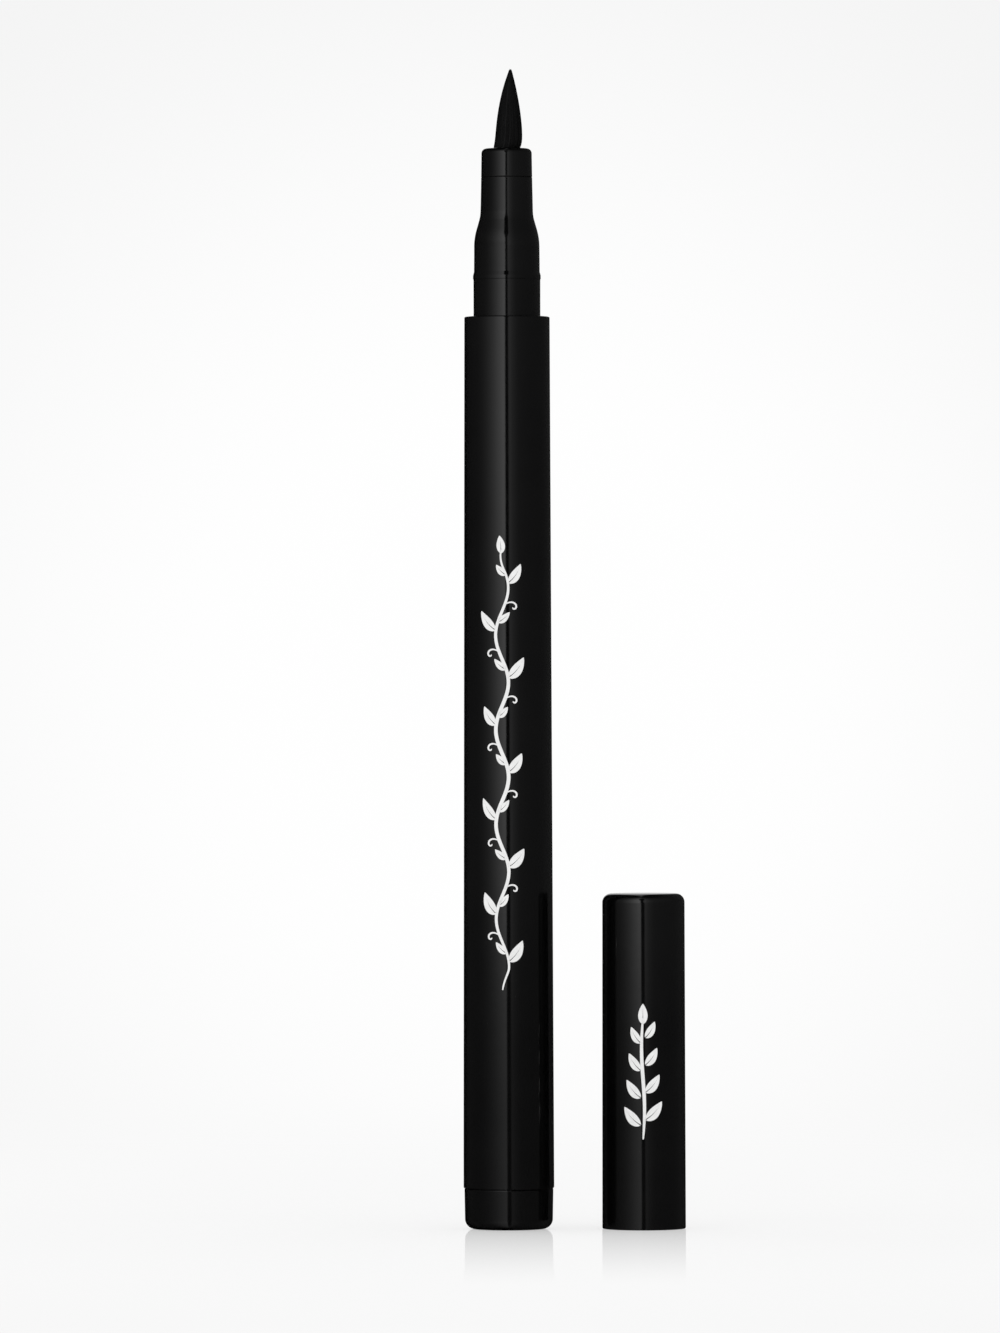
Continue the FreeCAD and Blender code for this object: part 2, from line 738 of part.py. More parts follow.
def make_cap_spring():
    """Compression spring between the inner cap and the cap's end wall."""
    foot = "inner_top_y + seat_gap + spring_wire_radius"
    helix = doc.addObject("Part::Helix", "spring_line")
    bind(helix, "Radius", "spring_mean_radius")
    bind(helix, "Height", "spring_height")
    bind(helix, "Pitch", "spring_height / spring_turns")
    wire = doc.addObject("Part::Circle", "spring_wire")
    bind(wire, "Radius", "spring_wire_radius")
    bind(wire, "Placement.Base.x", "spring_mean_radius")
    wire.Placement.Rotation = FreeCAD.Rotation(FreeCAD.Vector(1, 0, 0), 90)
    spring = doc.addObject("Part::Sweep", "cap_spring")
    spring.Label = "cap_spring"
    spring.Sections = [wire]
    doc.recompute()
    spring.Spine = (helix, [f"Edge{n}" for n in range(1, len(helix.Shape.Edges) + 1)])
    spring.Solid = True
    spring.Frenet = True
    bind(spring, "Placement.Base.z", foot)
    stand_beside(spring)
    doc.recompute()
    turn = math.hypot(2 * math.pi * value("spring_mean_radius"),
                      value("spring_height / spring_turns"))
    wire_length = turn * value("spring_turns")
    expected = math.pi * value("spring_wire_radius") ** 2 * wire_length
    if abs(spring.Shape.Volume - expected) > VOLUME_SHARE * expected:
        raise RuntimeError(f"the spring's volume is {spring.Shape.Volume:.3f}, not {expected:.3f}")
    return spring


def check_pieces(pieces):
    """Stops the build unless every object is sound and every piece is valid solids."""
    doc.recompute()
    failed = [o.Name for o in doc.Objects if {"Invalid", "Error"} & set(o.State)]
    if failed:
        raise RuntimeError(f"these objects failed: {failed}")
    for piece in pieces:
        shape = piece.Shape
        if shape.isNull() or not shape.isValid() or not shape.Solids:
            raise RuntimeError(f"{piece.Label} is not a valid solid")


def main():
    """Builds every piece, checks it and writes its file."""
    pieces = [
        make_barrel(),
        make_tail_plug(),
        make_mixing_ball("mixing_ball_left", -1),
        make_mixing_ball("mixing_ball_right", 1),
        make_tank_seal(),
        make_collector_comb(),
        make_relay_core(),
        make_front_section(),
        make_tip_holder(),
        make_brush_tip(),
        make_brush_retainer(),
        make_cap_shell(),
        make_inner_cap(),
        make_cap_spring(),
    ]
    check_pieces(pieces)
    os.makedirs("parts", exist_ok=True)
    for piece in pieces:
        piece.Shape.exportStep(f"parts/{piece.Label}.step")
        box = piece.Shape.BoundBox
        print(f"{piece.Label}: {len(piece.Shape.Solids)} solid, volume {piece.Shape.Volume:.2f}, "
              f"z {box.ZMin:.2f} to {box.ZMax:.2f}")


main()
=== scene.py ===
"""Looks of a liquid eyeliner pen that stands beside its pulled-off cap.

Everything is in metres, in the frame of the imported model: Z up along the pen, +X towards the cap,
and the camera looks along +Y.
"""

import math
import random

import bmesh
import bpy
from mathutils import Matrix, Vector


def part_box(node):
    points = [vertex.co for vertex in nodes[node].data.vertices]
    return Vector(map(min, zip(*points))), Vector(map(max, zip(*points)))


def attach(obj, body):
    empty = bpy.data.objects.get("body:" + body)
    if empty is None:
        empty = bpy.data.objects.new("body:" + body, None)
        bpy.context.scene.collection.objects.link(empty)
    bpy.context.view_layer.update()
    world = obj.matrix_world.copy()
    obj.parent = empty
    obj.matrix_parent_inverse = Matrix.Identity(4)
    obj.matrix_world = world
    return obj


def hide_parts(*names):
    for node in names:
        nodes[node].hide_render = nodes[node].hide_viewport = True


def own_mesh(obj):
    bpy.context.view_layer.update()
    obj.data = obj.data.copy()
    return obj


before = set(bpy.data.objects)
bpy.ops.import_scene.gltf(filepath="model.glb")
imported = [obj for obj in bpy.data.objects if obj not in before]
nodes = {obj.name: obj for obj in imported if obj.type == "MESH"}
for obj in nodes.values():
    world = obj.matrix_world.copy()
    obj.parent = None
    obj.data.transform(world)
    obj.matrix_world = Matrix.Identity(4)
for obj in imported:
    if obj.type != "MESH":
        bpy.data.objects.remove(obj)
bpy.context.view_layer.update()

MM = 0.001
FULL_TURN = 2 * math.pi
WHITE = (1.0, 1.0, 1.0, 1.0)


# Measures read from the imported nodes

def outer_radius(node, height, axis_x=0.0):
    """Radius of a node's outer surface at a height, about an upright axis."""
    mesh = nodes[node].data
    largest = 0.0
    for edge in mesh.edges:
        a, b = (mesh.vertices[i].co for i in edge.vertices)
        if (a.z - height) * (b.z - height) > 0 or a.z == b.z:
            continue
        crossing = a.lerp(b, (height - a.z) / (b.z - a.z))
        largest = max(largest, math.hypot(crossing.x - axis_x, crossing.y))
    return largest


CAP_LOW, CAP_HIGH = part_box("cap_shell")
CAP_X = (CAP_LOW.x + CAP_HIGH.x) / 2


# Shader helpers

class Shader:
    """Adds and links the nodes of one node tree."""

    # Places of the colour sockets on a mix node, whose names its other kinds share.
    COLOUR_MIX_INPUTS = (0, 6, 7)
    COLOUR_MIX_OUTPUT = 2

    def __init__(self, owner):
        owner.use_nodes = True
        self.tree = owner.node_tree
        self.tree.nodes.clear()

    def add(self, kind, inputs=None, **settings):
        """A node with the given settings. Its inputs are numbers, colours or other sockets."""
        node = self.tree.nodes.new(kind)
        for name, setting in settings.items():
            setattr(node, name, setting)
        for name, source in (inputs or {}).items():
            self.feed(node.inputs[name], source)
        return node

    def feed(self, socket, source):
        """Links a socket to another one, or writes a plain value into it."""
        if isinstance(source, bpy.types.NodeSocket):
            self.tree.links.new(source, socket)
        else:
            socket.default_value = source

    def math(self, operation, *sources):
        """The result of one math node."""
        node = self.add("ShaderNodeMath", operation=operation)
        for index, source in enumerate(sources):
            self.feed(node.inputs[index], source)
        return node.outputs[0]

    def vector_math(self, operation, *sources, output=0):
        """The result of one vector math node."""
        node = self.add("ShaderNodeVectorMath", dict(enumerate(sources)), operation=operation)
        return node.outputs[output]

    def split(self, vector):
        """The three parts of a vector."""
        return self.add("ShaderNodeSeparateXYZ", {"Vector": vector}).outputs

    def mix(self, share, first, second):
        """A shader between two others."""
        return self.add("ShaderNodeMixShader", {0: share, 1: first, 2: second}).outputs[0]

    def clear(self):
        """A shader that lets everything through."""
        return self.add("ShaderNodeBsdfTransparent").outputs[0]

    def glow(self, colour, strength=1.0):
        """A shader that gives off light."""
        return self.add("ShaderNodeEmission", {"Color": colour, "Strength": strength}).outputs[0]

    def principled(self, inputs):
        """The general shader, linked to the output."""
        self.finish(self.add("ShaderNodeBsdfPrincipled", inputs).outputs[0])

    def blend(self, factor, first, second):
        """A colour between two others."""
        node = self.add("ShaderNodeMix", data_type="RGBA")
        for index, source in zip(self.COLOUR_MIX_INPUTS, (factor, first, second)):
            self.feed(node.inputs[index], source)
        return node.outputs[self.COLOUR_MIX_OUTPUT]

    def span(self, source, low, high, to_low, to_high, kind="LINEAR"):
        """A value moved from one range to another and held inside it."""
        node = self.add("ShaderNodeMapRange", interpolation_type=kind)
        for index, number in enumerate((source, low, high, to_low, to_high)):
            self.feed(node.inputs[index], number)
        return node.outputs[0]

    def ramp(self, source, stops):
        """A grey ramp through (position, brightness) stops."""
        node = self.add("ShaderNodeValToRGB")
        elements = node.color_ramp.elements
        while len(elements) < len(stops):
            elements.new(0.5)
        for element, (position, brightness) in zip(elements, stops):
            element.position = position
            element.color = (brightness, brightness, brightness, 1.0)
        self.feed(node.inputs[0], source)
        return node.outputs[0]

    def noise(self, place, scale, detail=3.0, roughness=0.55, stretch=None):
        """Smooth noise over a place, its scale in cycles a metre, stretched along the axes."""
        if stretch:
            place = self.add("ShaderNodeMapping", {"Vector": place, "Scale": stretch}).outputs[0]
        node = self.add("ShaderNodeTexNoise", {
            "Vector": place, "Scale": scale, "Detail": detail, "Roughness": roughness,
        })
        return node.outputs["Fac"]

    def bump(self, height, depth, strength=1.0, under=None):
        """A normal bent by a height, its full swing a depth in metres."""
        node = self.add("ShaderNodeBump", {
            "Height": height, "Distance": depth, "Strength": strength,
        })
        if under is not None:
            self.feed(node.inputs["Normal"], under)
        return node.outputs[0]

    def place(self):
        """The point in the object's own metres."""
        return self.add("ShaderNodeTexCoord").outputs["Object"]

    def finish(self, shader, kind="ShaderNodeOutputMaterial"):
        """Links the last shader to the output."""
        self.add(kind, {"Surface": shader})


def new_material(name):
    """A material with an empty node tree, and the helper that fills it."""
    material = bpy.data.materials.new(name)
    return material, Shader(material)


def grey(brightness, blue=1.0):
    """A grey, its blue part weighted."""
    return (brightness, brightness, brightness * blue, 1.0)


# Materials of the object

BLACK_PLASTIC = (0.0011, 0.0011, 0.0011 * 1.06, 1.0)
BLACK_PLASTIC_WORN = (0.0011 * 1.6, 0.0011 * 1.6, 0.0011 * 1.65, 1.0)
SMUDGE_SCALE = 210.0
HAIRLINE_SCALE = 900.0
HAIRLINE_STRETCH = (1.0, 1.0, 0.035)
SPECK_SCALE = 5200.0
PEEL_SCALE = 1300.0
# How far a seam's dull edges reach from its middle, fully and fading, and their roughness.
SEAM_REACH = (0.075 * MM, 0.1 * MM)
SEAM_ROUGHNESS = 0.5


def gloss_plastic(name, gloss, smudge, peel, ior=1.49, seam=None):
    """Polished black moulding: faint smudges, hairline scratches and a trace of orange peel.

    A seam at the given height has dull edges, as the polish doesn't reach into it.
    """
    material, s = new_material(name)
    place = s.place()
    clouds = s.noise(place, SMUDGE_SCALE, detail=4.0, roughness=0.6)
    hairs = s.noise(place, HAIRLINE_SCALE, detail=5.0, roughness=0.65, stretch=HAIRLINE_STRETCH)
    specks = s.noise(place, SPECK_SCALE, detail=2.0, roughness=0.5)
    rough = s.math("ADD", s.span(clouds, 0.35, 0.7, gloss, gloss + smudge),
                   s.span(hairs, 0.6, 0.78, 0.0, smudge))
    if seam is not None:
        away = s.math("ABSOLUTE", s.math("SUBTRACT", s.split(place)["Z"], seam))
        rough = s.math("MAXIMUM", rough, s.span(away, *SEAM_REACH, SEAM_ROUGHNESS, 0.0))
    tint = s.blend(s.span(clouds, 0.3, 0.7, 0.0, 1.0), BLACK_PLASTIC, BLACK_PLASTIC_WORN)
    skin = s.bump(s.noise(place, PEEL_SCALE, detail=2.0, roughness=0.4), peel)
    skin = s.bump(hairs, peel * 0.6, strength=0.5, under=skin)
    skin = s.bump(s.span(specks, 0.74, 0.8, 0.0, 1.0), peel * 0.8, strength=0.4, under=skin)
    s.principled({"Base Color": tint, "Roughness": rough, "Normal": skin, "IOR": ior})
    return material


NATURAL_MILKY = (0.78, 0.79, 0.78, 1.0)
NATURAL_PALE = (0.88, 0.885, 0.87, 1.0)


def natural_plastic():
    """Uncoloured satin moulding, faintly see-through, with flow marks."""
    material, s = new_material("natural_plastic")
    place = s.place()
    flow = s.noise(place, 320.0, detail=4.0, roughness=0.6, stretch=(1.0, 1.0, 0.25))
    grain = s.noise(place, 4200.0, detail=3.0, roughness=0.6)
    tint = s.blend(flow, NATURAL_MILKY, NATURAL_PALE)
    s.principled({
        "Base Color": tint,
        "Roughness": s.span(grain, 0.3, 0.7, 0.34, 0.48),
        "Normal": s.bump(grain, 0.004 * MM),
        "Subsurface Weight": 0.25,
        "Subsurface Radius": (0.9, 0.95, 1.0),
        "Subsurface Scale": 0.6 * MM,
    })
    return material


def fibre(name, dark, pale, wet, strand_scale, depth, shine):
    """Strands along the pen's axis, soaked in black ink."""
    material, s = new_material(name)
    place = s.place()
    strands = s.noise(place, strand_scale, detail=4.0, roughness=0.6, stretch=(1.0, 1.0, 0.04))
    pools = s.noise(place, 700.0, detail=3.0, roughness=0.5)
    tint = s.blend(strands, grey(dark, 1.08), grey(pale, 1.05))
    s.principled({
        "Base Color": tint,
        "Roughness": s.span(pools, 0.35, 0.65, wet, wet + 0.16),
        "Normal": s.bump(strands, depth),
        "Specular IOR Level": shine,
    })
    return material


ELASTOMER = (0.075, 0.075, 0.078, 1.0)
ELASTOMER_BLOOM = (0.12, 0.12, 0.122, 1.0)


def soft_seal():
    """Dark satin elastomer with a fine bloom."""
    material, s = new_material("soft_seal")
    place = s.place()
    bloom = s.noise(place, 900.0, detail=5.0, roughness=0.65)
    tint = s.blend(bloom, ELASTOMER, ELASTOMER_BLOOM)
    s.principled({
        "Base Color": tint,
        "Roughness": s.span(bloom, 0.3, 0.7, 0.5, 0.68),
        "Normal": s.bump(s.noise(place, 6000.0, detail=2.0), 0.006 * MM),
    })
    return material


BARE_STEEL = (0.66, 0.665, 0.67, 1.0)
DRIED_INK = (0.05, 0.05, 0.055, 1.0)


def steel(name, shine, film):
    """Bare steel with hairlines and a broken film of dried ink."""
    material, s = new_material(name)
    place = s.place()
    lines = s.noise(place, 3500.0, detail=4.0, roughness=0.6, stretch=(0.12, 1.0, 1.0))
    patches = s.noise(place, 1100.0, detail=4.0, roughness=0.6)
    stain = s.span(patches, 0.58, 0.7, 0.0, film)
    tint = s.blend(stain, BARE_STEEL, DRIED_INK)
    s.principled({
        "Base Color": tint,
        "Metallic": 1.0,
        "Roughness": s.math("ADD", s.span(lines, 0.3, 0.7, shine, shine + 0.12), stain),
        "Normal": s.bump(lines, 0.0015 * MM),
    })
    return material


THIN_WHITE = (0.84, 0.84, 0.835, 1.0)
FULL_WHITE = (0.93, 0.93, 0.925, 1.0)


def white_print():
    """Printed white ink: slightly uneven cover and a dry, fine-grained surface."""
    material, s = new_material("white_print")
    place = s.place()
    cover = s.noise(place, 1500.0, detail=4.0, roughness=0.6)
    grain = s.noise(place, 9000.0, detail=2.0)
    tint = s.blend(s.span(cover, 0.3, 0.72, 0.0, 1.0), THIN_WHITE, FULL_WHITE)
    s.principled({
        "Base Color": tint,
        "Roughness": s.span(grain, 0.3, 0.7, 0.42, 0.55),
        "Normal": s.bump(grain, 0.003 * MM),
    })
    return material


def dress(material, *names):
    """Gives carried-over nodes their material."""
    for name in names:
        slots = nodes[name].material_slots
        for slot in slots:
            slot.material = material
        if not slots:
            nodes[name].data.materials.append(material)


HOLDER_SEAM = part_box("front_section")[1].z + 0.01 * MM

dress(gloss_plastic("black_body", gloss=0.085, smudge=0.035, peel=0.0022 * MM),
      "barrel", "tail_plug")
dress(gloss_plastic("black_cap", gloss=0.08, smudge=0.035, peel=0.0022 * MM, ior=1.555),
      "cap_shell")
dress(gloss_plastic("black_neck", gloss=0.095, smudge=0.04, peel=0.0025 * MM, seam=HOLDER_SEAM),
      "front_section", "tip_holder")
dress(natural_plastic(), "collector_comb", "inner_cap", "brush_retainer")
dress(fibre("inked_fibre", dark=0.012, pale=0.05, wet=0.45, strand_scale=5000.0,
            depth=0.02 * MM, shine=0.5), "relay_core")
dress(soft_seal(), "tank_seal")
dress(steel("ball_steel", shine=0.1, film=0.7), "mixing_ball_left", "mixing_ball_right")
SPRING_STEEL = steel("spring_steel", shine=0.24, film=0.25)
BRUSH_INK = fibre("brush_fibre", dark=0.0009, pale=0.003, wet=0.34, strand_scale=7000.0,
                  depth=0.008 * MM, shine=0.2)
PRINT_INK = white_print()


# Mesh helpers

def new_piece(name, points, faces, material, body, smooth=True):
    """A mesh object that rides on a CAD body."""
    mesh = bpy.data.meshes.new(name)
    mesh.from_pydata(points, [], faces)
    mesh.validate()
    mesh.update()
    mesh.materials.append(material)
    if smooth:
        mesh.shade_smooth()
    piece = bpy.data.objects.new(name, mesh)
    bpy.context.scene.collection.objects.link(piece)
    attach(piece, body)
    return piece


def ring_faces(first, second, sides):
    """The quads between two rings of points, given by the index of each ring's first point."""
    return [(first + i, first + (i + 1) % sides, second + (i + 1) % sides, second + i)
            for i in range(sides)]


def tube_faces(start, sides, steps):
    """The closed faces of a tube: its wall between successive rings, and a lid at either end."""
    faces = []
    for step in range(steps):
        faces += ring_faces(start + step * sides, start + (step + 1) * sides, sides)
    faces.append(tuple(start + i for i in reversed(range(sides))))
    faces.append(tuple(start + steps * sides + i for i in range(sides)))
    return faces


# Brush tuft

HOLDER_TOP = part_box("tip_holder")[1].z
BRUSH_LOW, BRUSH_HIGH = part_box("brush_tip")
RELAY_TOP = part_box("relay_core")[1].z
TUFT_RADIUS = outer_radius("brush_tip", HOLDER_TOP - 0.5 * MM)
TUFT_END_RADIUS = 0.05 * MM
TUFT_HEIGHT = BRUSH_HIGH.z - HOLDER_TOP
# The tuft swells and steps aside where it leaves the holder's bore, and leans further towards
# its tip.
TUFT_SWELL, TUFT_SWELL_HEIGHT = 0.065 * MM, 0.3 * MM
TUFT_STEP, TUFT_STEP_HEIGHT = 0.28 * MM, 0.7 * MM
TUFT_LEAN = 0.17 * MM
# The core lies just under the filaments, a trace closer to them inside the bore.
CORE_SHARE, CORE_BORE_SHARE, CORE_FOOT_SHARE = 0.97, 0.98, 0.99
FLUTES, FLUTE_DEPTH = 31, 0.018
FLUTE_WANDER, FLUTE_WANDERS = 1.3, 3
ROOT_HEIGHT = 0.95 * MM
SOCKET_GAP = 0.05 * MM

FILAMENTS = 132
FILAMENT_THICKNESS = 0.042 * MM
# How deep the filaments start in the bore, and how much shorter the shortest one ends.
FILAMENT_DEPTH = 0.8 * MM
FILAMENT_SHORT = 0.16
FILAMENT_CURL, FILAMENT_CURLS = 0.018, 5


def tuft_radius(height):
    """Radius of the tuft: an arc that starts upright at the holder's face, and the swell."""
    reach = TUFT_RADIUS - TUFT_END_RADIUS
    bow = (reach ** 2 + TUFT_HEIGHT ** 2) / (2 * reach)
    height = min(max(height, 0.0), TUFT_HEIGHT)
    swell = TUFT_SWELL * (1 - math.exp(-height / TUFT_SWELL_HEIGHT))
    return TUFT_RADIUS - bow + math.sqrt(bow ** 2 - height ** 2) + swell


def tuft_lean(height):
    """How far the tuft's middle stands towards the cap at a height above the holder."""
    height = max(height, 0.0)
    step = TUFT_STEP * (1 - math.exp(-height / TUFT_STEP_HEIGHT))
    return step + TUFT_LEAN * (height / TUFT_HEIGHT) ** 3


def make_tuft_core():
    """The fused root with its socket, and the body of the tuft under the outer filaments."""
    sides, steps = 96, 44
    root_radius = outer_radius("brush_tip", BRUSH_LOW.z + 0.3 * MM)
    socket_base = outer_radius("relay_core", BRUSH_LOW.z + 0.05 * MM) + SOCKET_GAP
    socket_end = outer_radius("relay_core", RELAY_TOP - 0.01 * MM) + SOCKET_GAP
    socket_top = RELAY_TOP + SOCKET_GAP
    rings = [
        (socket_end, socket_top, 0.0), (socket_base, BRUSH_LOW.z, 0.0),
        (root_radius, BRUSH_LOW.z, 0.0), (root_radius, BRUSH_LOW.z + ROOT_HEIGHT, 0.0),
        (TUFT_RADIUS * CORE_FOOT_SHARE, BRUSH_LOW.z + ROOT_HEIGHT, 0.0),
        (TUFT_RADIUS * CORE_BORE_SHARE, HOLDER_TOP - 0.4 * MM, FLUTE_DEPTH),
    ]
    for step in range(steps):
        height = TUFT_HEIGHT * (step / steps) ** 0.9
        rings.append((tuft_radius(height) * CORE_SHARE, HOLDER_TOP + height, FLUTE_DEPTH))
    points = [(0.0, 0.0, socket_top)]
    for radius, z, flute in rings:
        lean = tuft_lean(z - HOLDER_TOP)
        for i in range(sides):
            turn = FULL_TURN * i / sides
            wander = FLUTE_WANDER * math.sin(FLUTE_WANDERS * turn)
            wave = 1 + flute * math.cos(FLUTES * turn + wander)
            points.append((lean + radius * wave * math.cos(turn),
                           radius * wave * math.sin(turn), z))
    points.append((tuft_lean(TUFT_HEIGHT), 0.0, BRUSH_HIGH.z - 0.02 * MM))
    faces = [(0, 1 + (i + 1) % sides, 1 + i) for i in range(sides)]
    for ring in range(len(rings) - 1):
        faces += ring_faces(1 + ring * sides, 1 + (ring + 1) * sides, sides)
    last = 1 + (len(rings) - 1) * sides
    tip = len(points) - 1
    faces += [(last + i, last + (i + 1) % sides, tip) for i in range(sides)]
    core = new_piece("brush_core", points, faces, BRUSH_INK, "pen")
    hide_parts("brush_tip")


def make_tuft_filaments():
    """The tapered filaments of the tuft's outer layer, which close to a point."""
    draw = random.Random(11)
    sides, steps = 6, 30
    points, faces = [], []
    for number in range(FILAMENTS):
        turn = FULL_TURN * (number + draw.uniform(-0.3, 0.3)) / FILAMENTS
        drift = draw.uniform(-0.10, 0.10)
        lift = draw.uniform(0.965, 1.0)
        end_share = 1 - draw.random() ** 3 * FILAMENT_SHORT
        swirl = draw.uniform(0, FULL_TURN)
        length = TUFT_HEIGHT * end_share + FILAMENT_DEPTH
        start = len(points)
        for step in range(steps + 1):
            share = step / steps
            height = -FILAMENT_DEPTH + length * share ** 0.92
            body = tuft_radius(height)
            taper = (body / TUFT_RADIUS) ** 0.75 * (1 - share ** 6 * 0.75)
            width = FILAMENT_THICKNESS * taper
            curl_turn = FILAMENT_CURL * math.sin(FILAMENT_CURLS * share + swirl)
            angle = turn + drift * share ** 2 + curl_turn
            reach = body * lift - width
            out = (math.cos(angle), math.sin(angle))
            for i in range(sides):
                way = FULL_TURN * i / sides
                radial = reach + width * math.cos(way)
                aside = width * math.sin(way)
                points.append((
                    tuft_lean(height) + radial * out[0] - aside * out[1],
                    radial * out[1] + aside * out[0],
                    HOLDER_TOP + height,
                ))
        faces += tube_faces(start, sides, steps)
    layer = new_piece("brush_filaments", points, faces, BRUSH_INK, "pen")


make_tuft_core()
make_tuft_filaments()


# Spring of the inner cap

SPRING_LOW, SPRING_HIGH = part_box("cap_spring")
SPRING_WIRE = 0.2 * MM
SPRING_COIL = (SPRING_HIGH.x - SPRING_LOW.x) / 2 - SPRING_WIRE
SPRING_HEIGHT = SPRING_HIGH.z - SPRING_LOW.z
SPRING_TURNS = 5.5
# The turns at either end lie close, the first half of them fully so.
SPRING_CLOSED_TURNS = 0.8
SPRING_CLOSED_PITCH = 2.1 * SPRING_WIRE


def spring_rises(steps):
    """Heights along the wire: closed end turns, and evenly open ones between them."""
    closed = SPRING_CLOSED_PITCH * SPRING_TURNS
    opened = [0.0]
    for step in range(steps):
        turn = SPRING_TURNS * (step + 0.5) / steps
        from_end = min(turn, SPRING_TURNS - turn) / SPRING_CLOSED_TURNS
        opened.append(opened[-1] + min(max(2 * from_end - 1, 0.0), 1.0))
    spare = SPRING_HEIGHT - 2 * SPRING_WIRE - closed
    return [closed * step / steps + spare * opened[step] / opened[-1]
            for step in range(steps + 1)]


def make_spring():
    """The inner cap's spring."""
    sides, steps = 14, 220
    points = []
    for step, rise in enumerate(spring_rises(steps)):
        turn = FULL_TURN * SPRING_TURNS * step / steps
        middle = SPRING_LOW.z + SPRING_WIRE + rise
        for i in range(sides):
            way = FULL_TURN * i / sides
            reach = SPRING_COIL + SPRING_WIRE * math.cos(way)
            points.append((CAP_X + reach * math.cos(turn), reach * math.sin(turn),
                           middle - SPRING_WIRE * math.sin(way)))
    spring = new_piece("cap_coil", points, tube_faces(0, sides, steps), SPRING_STEEL, "cap")
    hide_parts("cap_spring")
    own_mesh(spring)


make_spring()


# Printed ornament: a plain leafy vine, in millimetres across and along the surface

class Print:
    """Collects thin closed shells of printed ink, drawn flat and wrapped round an upright wall."""

    # How far the ink stands out of the wall, and how far its underside lies in it.
    PROUD = 0.014 * MM
    SUNK = 0.01 * MM
    # Half the bare midrib's width, the share of the leaf where it has closed, and what stays open.
    LEAF_RIB = 0.05
    LEAF_RIB_END = 0.8
    LEAF_RIB_LEAST = 0.06
    LEAF_EDGE = 0.03

    def __init__(self, node, axis_x, middle, low, high):
        self.axis_x = axis_x
        self.middle = middle
        self.low, self.high = low, high
        self.radii = [outer_radius(node, z * MM, axis_x) for z in (low, high)]
        self.points, self.faces = [], []

    def wrap(self, across, up, rise):
        """A flat point in millimetres as a point on the wall, raised by a height."""
        share = (up - self.low) / (self.high - self.low)
        radius = self.radii[0] + (self.radii[1] - self.radii[0]) * share
        turn = (self.middle + across) * MM / radius
        reach = radius + rise
        return (self.axis_x + reach * math.sin(turn), -reach * math.cos(turn), up * MM)

    def sheet(self, rows):
        """One closed shell from rows of flat points, all rows equally long."""
        long, wide = len(rows), len(rows[0])
        start = len(self.points)
        for rise in (self.PROUD, -self.SUNK):
            for row in rows:
                self.points += [self.wrap(across, up, rise) for across, up in row]
        under = start + long * wide

        def at(base, i, j):
            return base + i * wide + j

        for i in range(long - 1):
            for j in range(wide - 1):
                top = (at(start, i, j), at(start, i, j + 1), at(start, i + 1, j + 1),
                       at(start, i + 1, j))
                self.faces.append(top)
                self.faces.append(tuple(reversed([k - start + under for k in top])))
        rim = [(0, j) for j in range(wide)] + [(i, wide - 1) for i in range(1, long)]
        rim += [(long - 1, j) for j in range(wide - 2, -1, -1)]
        rim += [(i, 0) for i in range(long - 2, 0, -1)]
        for k, (i, j) in enumerate(rim):
            m, n = rim[(k + 1) % len(rim)]
            self.faces.append((at(start, m, n), at(start, i, j), at(under, i, j),
                               at(under, m, n)))

    def stroke(self, path, width, taper=0.35):
        """A line along a path of flat points, thinner at both ends."""
        rows, count = [], len(path)
        for index, (across, up) in enumerate(path):
            before, after = path[max(index - 1, 0)], path[min(index + 1, count - 1)]
            along = (after[0] - before[0], after[1] - before[1])
            length = math.hypot(*along)
            side = (-along[1] / length, along[0] / length)
            share = index / (count - 1)
            half = width / 2 * (taper + (1 - taper) * math.sin(math.pi * share) ** 0.5)
            rows.append([(across + side[0] * half * t, up + side[1] * half * t)
                         for t in (-1.0, 0.0, 1.0)])
        self.sheet(rows)

    def leaf(self, root, heading, length, width, bend):
        """A leaf in two halves, parted by its bare midrib."""
        steps, parts = 12, 3
        for side in (-1, 1):
            rows = []
            for step in range(steps + 1):
                share = step / steps
                turn = heading + bend * (share - 0.5)
                middle = (root[0] + length * share * math.cos(turn),
                          root[1] + length * share * math.sin(turn))
                normal = (-math.sin(turn) * side, math.cos(turn) * side)
                outer = self.LEAF_EDGE + width / 2 * math.sin(math.pi * share ** 0.8) ** 0.85
                inner = self.LEAF_RIB * max(1 - share / self.LEAF_RIB_END, self.LEAF_RIB_LEAST)
                row = []
                for part in range(parts + 1):
                    off = inner + (outer - inner) * part / parts
                    row.append((middle[0] + normal[0] * off, middle[1] + normal[1] * off))
                rows.append(row if side < 0 else row[::-1])
            self.sheet(rows)

    def make(self, name, body):
        """Turns what was drawn into a piece."""
        return new_piece(name, self.points, self.faces, PRINT_INK, body, smooth=False)


def curl(root, heading, size, turns, hand):
    """A tendril: a spiral that winds in from its root."""
    steps = 26
    path, place, way = [], list(root), heading
    for step in range(steps + 1):
        share = step / steps
        path.append(tuple(place))
        stride = size * (1.05 - 0.85 * share) / steps
        way += hand * turns * FULL_TURN / steps * (0.35 + 1.3 * share)
        place[0] += stride * math.cos(way)
        place[1] += stride * math.sin(way)
    return path


STEM_TAPER = 0.3
TENDRIL_SIZE, TENDRIL_TURNS = 3.6, 0.95
TENDRIL_WIDTH, TENDRIL_TAPER = 0.2, 0.25


